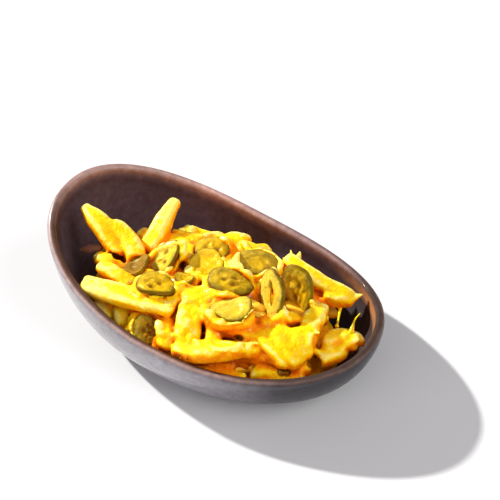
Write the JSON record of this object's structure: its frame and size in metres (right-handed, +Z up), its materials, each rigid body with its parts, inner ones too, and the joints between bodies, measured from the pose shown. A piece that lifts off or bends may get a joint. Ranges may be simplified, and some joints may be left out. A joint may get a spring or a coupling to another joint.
{
  "type": "bowl of cheese fries",
  "caption": "Thick-cut fries under melted cheese with slices of pickled green chilli, heaped in an oval boat-shaped bowl with one raised end.",
  "frame": {"origin": "centre of the bowl's flat foot, on the surface it stands on", "axes": "+X along the bowl towards its low end, +Y across the bowl, +Z up"},
  "size_m": [0.208, 0.132, 0.0685],
  "materials": {
    "glaze": "glossy glazed stoneware, dark brown inside, copper brown just under the rim and charcoal outside",
    "fries_and_cheese": "golden fried potato under bright yellow melted cheese, satin to glossy",
    "chilli": "wet pickled chilli, olive skin and paler flesh"
  },
  "bodies": {
    "root": {"bowl": "glaze", "fries_heap": "fries_and_cheese", "chilli_slice_01": "chilli", "chilli_slice_02": "chilli", "chilli_slice_03": "chilli", "chilli_slice_04": "chilli", "chilli_slice_05": "chilli", "chilli_slice_06": "chilli", "chilli_slice_07": "chilli", "chilli_slice_08": "chilli", "chilli_slice_09": "chilli", "chilli_slice_10": "chilli", "chilli_slice_11": "chilli", "chilli_slice_12": "chilli"}
  },
  "joints": []
}
